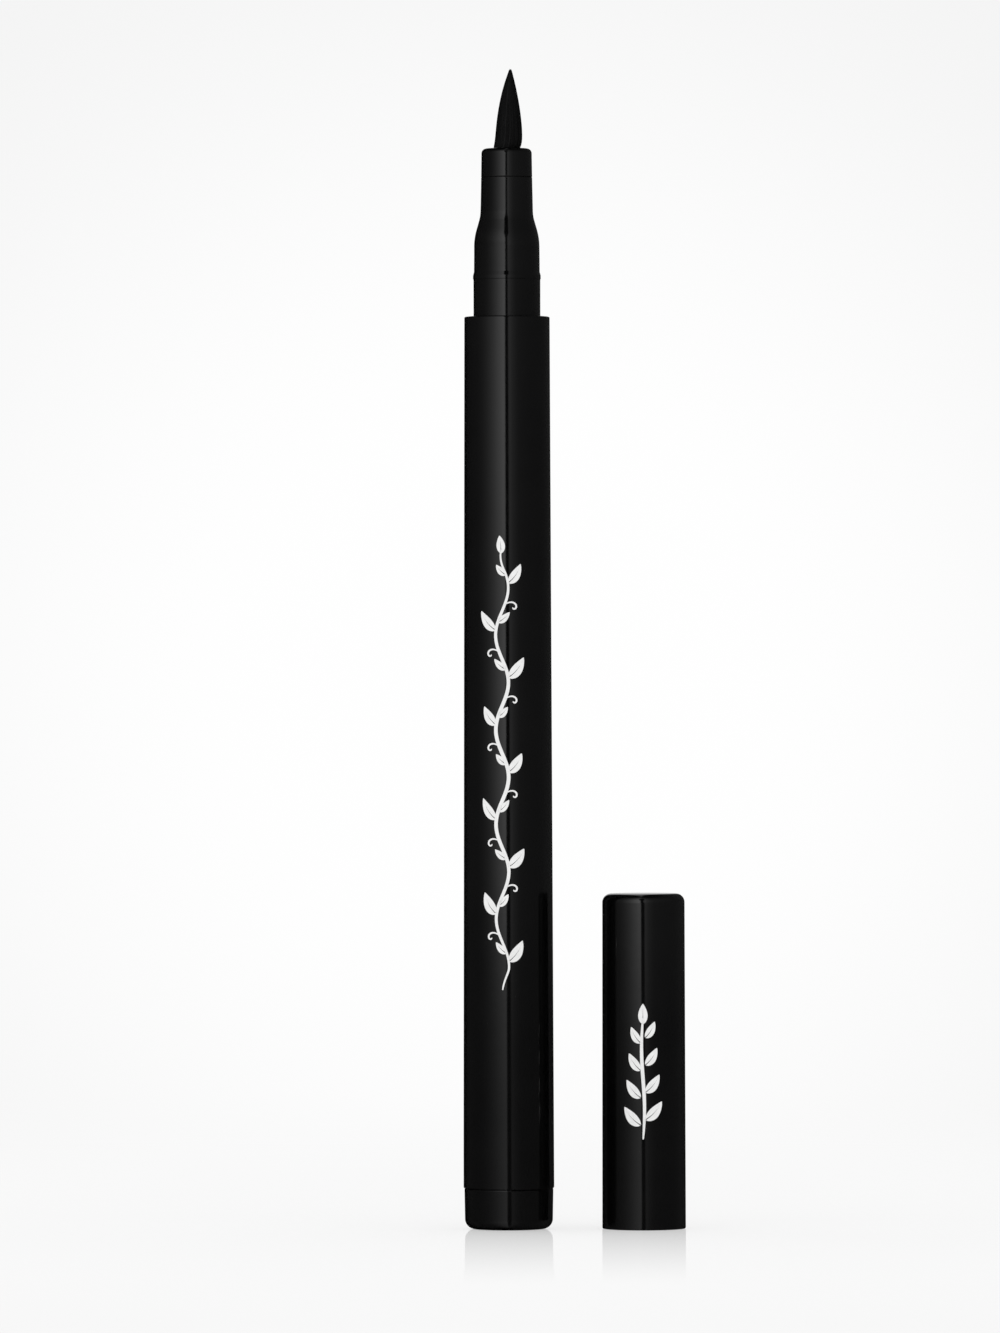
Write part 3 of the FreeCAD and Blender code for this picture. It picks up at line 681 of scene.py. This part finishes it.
def make_barrel_print():
    """A vine that climbs the barrel: pairs of leaves and tendrils on a stem that sways."""
    draw = random.Random(5)
    low, high, middle = 27.0, 76.3, -0.65
    sway, wave, settle = 0.72, 10.6, 3.0
    first_leaf, last_leaf, last_tendril = low + 3.2, high - 2.4, high - 2.5
    pair_gap = 0.9
    tendril_rise = wave * 0.27
    art = Print("barrel", 0.0, middle, low, high)

    def stem(up):
        """The stem's place across the barrel at a height, its sway weaker at both ends."""
        fade = min(1.0, (up - low) / settle + 0.25, (high - up) / settle + 0.15)
        return sway * fade * math.sin(FULL_TURN * (up - low) / wave)

    path, steps = [], 190
    for step in range(steps + 1):
        up = low + (high - low) * step / steps
        path.append((stem(up), up))
    art.stroke(path, 0.42, STEM_TAPER)
    up, side = first_leaf, 1
    while up < last_leaf:
        rise = math.radians(draw.uniform(38, 50))
        heading = rise if side > 0 else math.pi - rise
        length = draw.uniform(2.5, 2.9)
        art.leaf((stem(up), up), heading, length, draw.uniform(1.05, 1.25), side * 0.35)
        art.leaf((stem(up + pair_gap), up + pair_gap), math.pi - heading + side * 0.15,
                 length * 0.62, 0.72, -side * 0.3)
        spot = up + tendril_rise
        if spot < last_tendril:
            turn = math.pi - rise if side > 0 else rise
            tendril = curl((stem(spot), spot), turn, TENDRIL_SIZE, TENDRIL_TURNS, side)
            art.stroke(tendril, TENDRIL_WIDTH, TENDRIL_TAPER)
        up += wave / 2
        side = -side
    art.leaf((stem(high), high - 0.4), math.radians(92), 2.0, 0.9, 0.1)
    art.make("barrel_print", "pen")


def make_cap_print():
    """A short upright sprig on the cap, in the same hand as the vine."""
    low, high, middle = 10.2, 25.4, -0.15
    sway, pairs = 0.16, 4
    stem_high = high - 1.6
    art = Print("cap_shell", CAP_X, middle, low, high)
    path, steps = [], 60
    for step in range(steps + 1):
        share = step / steps
        path.append((sway * math.sin(FULL_TURN * share), low + (stem_high - low) * share))
    art.stroke(path, 0.4, STEM_TAPER)
    for pair in range(pairs):
        share = pair / (pairs - 1)
        up = low + 1.9 + (high - low - 6.0) * share
        size = 2.8 - 0.7 * share
        for side in (-1, 1):
            rise = math.radians(38 + 12 * share)
            heading = rise if side > 0 else math.pi - rise
            art.leaf((side * 0.24, up + side * 0.3), heading, size, size * 0.42, side * 0.3)
    art.leaf((0.0, high - 2.3), math.radians(90), 2.3, 1.0, 0.0)
    art.make("cap_print", "cap")


make_barrel_print()
make_cap_print()


# Camera at the photograph's viewing angle

PHOTO_HEIGHT = 1333
# Size of one pixel of the photograph at the pen's axis, and the row of its flat foot.
PIXEL = 0.1125 * MM
FOOT_ROW = 1228.65
CAMERA_DISTANCE = 1.18
CAMERA_X = -0.87 * MM
CAMERA_HEIGHT = (FOOT_ROW - PHOTO_HEIGHT / 2) * PIXEL
CAMERA_ROLL = 0.13


def make_camera():
    """A level camera with a long lens, turned a trace about its own axis."""
    camera = bpy.data.cameras.new("camera")
    camera.sensor_fit = "AUTO"
    camera.sensor_width = 36.0
    camera.lens = camera.sensor_width * CAMERA_DISTANCE / (PHOTO_HEIGHT * PIXEL)
    camera.clip_start = 0.01
    camera.clip_end = 20.0
    holder = bpy.data.objects.new("camera", camera)
    bpy.context.scene.collection.objects.link(holder)
    holder.location = (CAMERA_X, -CAMERA_DISTANCE, CAMERA_HEIGHT)
    holder.rotation_euler = (math.radians(90), math.radians(CAMERA_ROLL), 0.0)
    bpy.context.scene.camera = holder


make_camera()


# Studio: pale backdrop, a tent of black cards and two soft panels that only gloss sees, floor

def turn_stops(pairs):
    """Ramp stops from (degrees from the camera's side, brightness) pairs."""
    return [(degrees / 360 + 0.5, brightness) for degrees, brightness in pairs]


def rise_stops(pairs):
    """Ramp stops from (degrees above the tent's middle, brightness) pairs."""
    return [(degrees / 180 + 0.5, brightness) for degrees, brightness in pairs]


TENT_RADIUS = 280.0 * MM

# Brightness round the tent: from behind the object by the left to the camera's side, and on by
# the right.
PANELS = [
    (-172, 0.005), (-145, 0.006), (-135, 0.02), (-125, 0.032), (-110, 0.052), (-84, 0.10),
    (-70, 0.16), (-57, 0.27), (-46, 0.43), (-35, 0.65), (-24, 0.96), (-17, 1.14), (-12, 1.32),
    (-7.2, 1.42), (-3, 1.42), (-1, 0.46), (8.5, 0.46), (14, 0.32), (20, 0.25), (25, 0.20),
    (31, 0.155), (45, 0.128), (60, 0.11), (110, 0.066), (145, 0.046), (172, 0.025),
]
# How the brightness of the left and of the right panel changes with the height.
LEFT_RISE = [
    (-90, 0.15), (-57, 0.28), (-32, 0.36), (-21, 0.31), (-15.5, 0.29), (-13.6, 0.29),
    (-12, 0.29), (-11, 0.33), (-10, 0.375), (-9.3, 0.41), (-8.4, 0.48), (-7.6, 0.58),
    (-6.8, 0.66), (-5.8, 0.77), (-2.4, 0.88), (1.9, 0.89), (4.5, 0.91), (6.2, 1.0), (9.5, 1.04),
    (11.5, 1.05), (13.2, 0.92), (15.8, 0.92), (24, 1.1), (37, 0.95), (44, 0.75), (52, 0.72),
    (60, 0.35), (70, 0.15), (90, 0.1),
]
RIGHT_RISE = [
    (-90, 0.15), (-57, 0.35), (-32, 0.42), (-21, 0.34), (-15.5, 0.31), (-14.4, 0.34),
    (-12, 0.32), (-11, 0.28), (-10, 0.31), (-9.3, 0.38), (-8.4, 0.52), (-7.3, 0.63),
    (-5.8, 0.76), (-2.1, 0.90), (4.5, 0.93), (6.3, 0.99), (9.5, 1.06), (12, 1.1), (15.8, 1.28),
    (24, 1.2), (37, 1.05), (44, 1.0), (52, 0.8), (60, 0.45), (70, 0.2), (90, 0.15),
]
# Where the left panel hands over to the right one.
PANEL_CHANGE = (-1.5, 0.5)
# The panels lean by this many degrees at the given height above and below the tent's middle.
SLANT = 1.6
SLANT_REACH = 15.8
# Light that the pale floor throws back, weaker behind the object.
LOW_GLOW = 0.035
LOW_GLOW_RISE = (-10.5, 5.3)
LOW_GLOW_TURN = (115.0, 145.0)
LOW_GLOW_BEHIND = 0.1
# The opening behind the object, through which its outermost rims mirror the backdrop.
OPENING_TURN = (171.0, 174.0)
OPENING_RISE = (-9.0, -4.0)
OPENING_MOST = 0.68

# The black gap between the two panels, in degrees: its middle and half its width at the lower and
# the upper end of the part that upright walls show, and further up where it is wider.
GAP_RISE = (-16.0, 14.0)
GAP_MIDDLE = (1.46, -1.95)
GAP_HALF = (5.17, 3.88)
GAP_HIGH_RISE = (27.0, 34.0)
GAP_HIGH_MIDDLE, GAP_HIGH_HALF = -2.3, 8.4
GAP_EDGE = 1.0
GAP_TOP, GAP_TOP_EDGE = 54.0, 6.0


# The backdrop's brightness straight behind the object and beside it, in degrees off the camera's
# level line, and how much of it comes back further out.
BACKDROP_NEAR, BACKDROP_NEAR_TONE = (1.2, 5.0), (0.995, 0.905)
BACKDROP_WIDE, BACKDROP_WIDE_TONE = (6.0, 14.0), (0.0, 0.035)


def backdrop_brightness(s, toward):
    """Pale backdrop, brightest straight behind the object, from the direction's part along Y."""
    off_axis = s.math("ARCCOSINE", toward)

    def tone(places, tones):
        """A brightness that changes between two angles in degrees."""
        return s.span(off_axis, *map(math.radians, places), *tones, "SMOOTHSTEP")

    return s.math("ADD", tone(BACKDROP_NEAR, BACKDROP_NEAR_TONE),
                  tone(BACKDROP_WIDE, BACKDROP_WIDE_TONE))


def make_world():
    """Pale backdrop all round, and plain white for diffuse light."""
    world = bpy.data.worlds.new("studio")
    bpy.context.scene.world = world
    s = Shader(world)
    way = s.split(s.add("ShaderNodeTexCoord").outputs["Generated"])
    rays = s.add("ShaderNodeLightPath").outputs
    seen = s.math("MAXIMUM", rays["Is Camera Ray"], rays["Is Transmission Ray"])
    seen = s.math("MAXIMUM", seen, rays["Is Glossy Ray"])
    light = s.blend(seen, WHITE, backdrop_brightness(s, way["Y"]))
    s.finish(s.add("ShaderNodeBackground", {"Color": light, "Strength": 1.0}).outputs[0],
             "ShaderNodeOutputWorld")
    world.cycles.sampling_method = "NONE"


def gap_share(s, turn, rise):
    """One inside the black gap between the panels and zero beside it, with soft edges."""
    def along(places, numbers):
        """A number that follows the height between two places."""
        return s.span(rise, *(math.radians(number) for number in places + numbers))

    middle = s.math("ADD", along(GAP_RISE, GAP_MIDDLE),
                    along(GAP_HIGH_RISE, (0.0, GAP_HIGH_MIDDLE - GAP_MIDDLE[1])))
    half = s.math("ADD", along(GAP_RISE, GAP_HALF),
                  along(GAP_HIGH_RISE, (0.0, GAP_HIGH_HALF - GAP_HALF[1])))
    beside = s.math("ABSOLUTE", s.math("SUBTRACT", turn, middle))
    edge = math.radians(GAP_EDGE)
    across = s.span(s.math("SUBTRACT", beside, half), -edge, edge, 1.0, 0.0)
    up = s.span(rise, math.radians(GAP_TOP - GAP_TOP_EDGE), math.radians(GAP_TOP + GAP_TOP_EDGE),
                1.0, 0.0)
    return s.math("MULTIPLY", across, up)


def make_tent():
    """The cards and panels, a short way from the object. Only its gloss sees them."""
    material, s = new_material("studio_tent")
    way = s.split(s.vector_math("NORMALIZE", s.place()))
    turn = s.math("ARCTAN2", way["X"], s.math("MULTIPLY", way["Y"], -1.0))
    rise = s.math("ARCSINE", way["Z"])
    reach = math.radians(SLANT_REACH)
    lean = s.span(rise, -reach, reach, -math.radians(SLANT), math.radians(SLANT))
    turn_share = s.math("MULTIPLY_ADD", s.math("ADD", turn, lean), 0.5 / math.pi, 0.5)
    rise_share = s.math("MULTIPLY_ADD", rise, 1 / math.pi, 0.5)
    round_off = s.math("ABSOLUTE", turn)

    def fade(source, places, first, last):
        """A number that changes between two angles in degrees."""
        return s.span(source, math.radians(places[0]), math.radians(places[1]), first, last)

    glow = s.math("MULTIPLY", fade(rise, LOW_GLOW_RISE, LOW_GLOW, 0.0),
                  fade(round_off, LOW_GLOW_TURN, 1.0, LOW_GLOW_BEHIND))
    panels = s.ramp(turn_share, turn_stops(PANELS))
    panels = s.math("MULTIPLY", panels, s.math("SUBTRACT", 1.0, gap_share(s, turn, rise)))
    side = fade(turn, PANEL_CHANGE, 0.0, 1.0)
    height = s.blend(side, s.ramp(rise_share, rise_stops(LEFT_RISE)),
                     s.ramp(rise_share, rise_stops(RIGHT_RISE)))
    panels = s.math("MULTIPLY_ADD", panels, height, glow)
    opening = s.math("MULTIPLY", fade(round_off, OPENING_TURN, 0.0, 1.0),
                     fade(rise, OPENING_RISE, 0.0, OPENING_MOST))
    mirrored = s.add("ShaderNodeLightPath").outputs["Is Singular Ray"]
    open_share = s.math("MAXIMUM", opening, mirrored)
    s.finish(s.mix(open_share, s.glow(panels), s.clear()))
    material.cycles.emission_sampling = "NONE"

    ball = bmesh.new()
    bmesh.ops.create_icosphere(ball, subdivisions=4, radius=TENT_RADIUS)
    mesh = bpy.data.meshes.new("tent")
    ball.to_mesh(mesh)
    ball.free()
    mesh.materials.append(material)
    tent = bpy.data.objects.new("tent", mesh)
    tent.location.z = CAMERA_HEIGHT
    for kind in ("camera", "diffuse", "transmission", "volume_scatter", "shadow"):
        setattr(tent, "visible_" + kind, False)
    bpy.context.scene.collection.objects.link(tent)


FLOOR_RADIUS = 0.4
# Where the floor starts to fade into the backdrop, and where it is gone.
FLOOR_FADE = (0.05, FLOOR_RADIUS * 0.98)
FLOOR_DROP = 0.02 * MM
FLOOR_COLOUR = grey(0.955)
FLOOR_GLOW = 0.99
FLOOR_GLOW_SHARE = 0.7
SHEEN_REACH = 0.108
SHEEN_FALL = 1.35
SHEEN_MOST = 0.34


def distance(s, place, axis_x):
    """Distance on the floor from an upright axis."""
    offset = s.vector_math("SUBTRACT", place, (axis_x, 0.0, 0.0))
    return s.vector_math("LENGTH", offset, output="Value")


def make_floor():
    """A pale sweep that fades into the backdrop, with a soft sheen close to the object."""
    material, s = new_material("floor_sweep")
    place = s.place()
    from_pen = distance(s, place, 0.0)
    from_cap = distance(s, place, CAP_X)
    near = s.math("MINIMUM", from_pen, from_cap)
    sheen = s.span(near, 0.0, SHEEN_REACH, 1.0, 0.0)
    sheen = s.math("MULTIPLY", s.math("POWER", sheen, SHEEN_FALL), SHEEN_MOST)
    grazing = s.add("ShaderNodeFresnel", {"IOR": 1.45}).outputs[0]
    sheen = s.math("MULTIPLY", sheen, s.span(grazing, 0.0, 0.75, 0.0, 1.0))
    matte = s.add("ShaderNodeBsdfDiffuse", {"Color": FLOOR_COLOUR}).outputs[0]
    camera_ray = s.add("ShaderNodeLightPath").outputs["Is Camera Ray"]
    camera_share = s.math("MULTIPLY", camera_ray, FLOOR_GLOW_SHARE)
    base = s.mix(camera_share, matte, s.glow(FLOOR_COLOUR, FLOOR_GLOW))
    gloss = s.add("ShaderNodeBsdfGlossy", {"Color": WHITE, "Roughness": 0.0}).outputs[0]
    surface = s.mix(sheen, base, gloss)
    gone = s.span(from_pen, *FLOOR_FADE, 0.0, 1.0, "SMOOTHSTEP")
    back = s.add("ShaderNodeNewGeometry").outputs["Backfacing"]
    s.finish(s.mix(s.math("MAXIMUM", gone, back), surface, s.clear()))

    sides, rings = 96, 12
    points, faces = [(0.0, 0.0, 0.0)], []
    for ring in range(1, rings + 1):
        for i in range(sides):
            turn = FULL_TURN * i / sides
            radius = FLOOR_RADIUS * ring / rings
            points.append((radius * math.cos(turn), radius * math.sin(turn), 0.0))
    faces += [(0, 1 + i, 1 + (i + 1) % sides) for i in range(sides)]
    for ring in range(rings - 1):
        faces += [tuple(reversed(f))
                  for f in ring_faces(1 + ring * sides, 1 + (ring + 1) * sides, sides)]
    mesh = bpy.data.meshes.new("floor")
    mesh.from_pydata(points, [], faces)
    mesh.materials.append(material)
    floor = bpy.data.objects.new("floor", mesh)
    floor.location.z = -FLOOR_DROP
    floor.visible_glossy = False
    bpy.context.scene.collection.objects.link(floor)


make_world()
make_tent()
make_floor()
bpy.context.scene.view_settings.view_transform = "Standard"
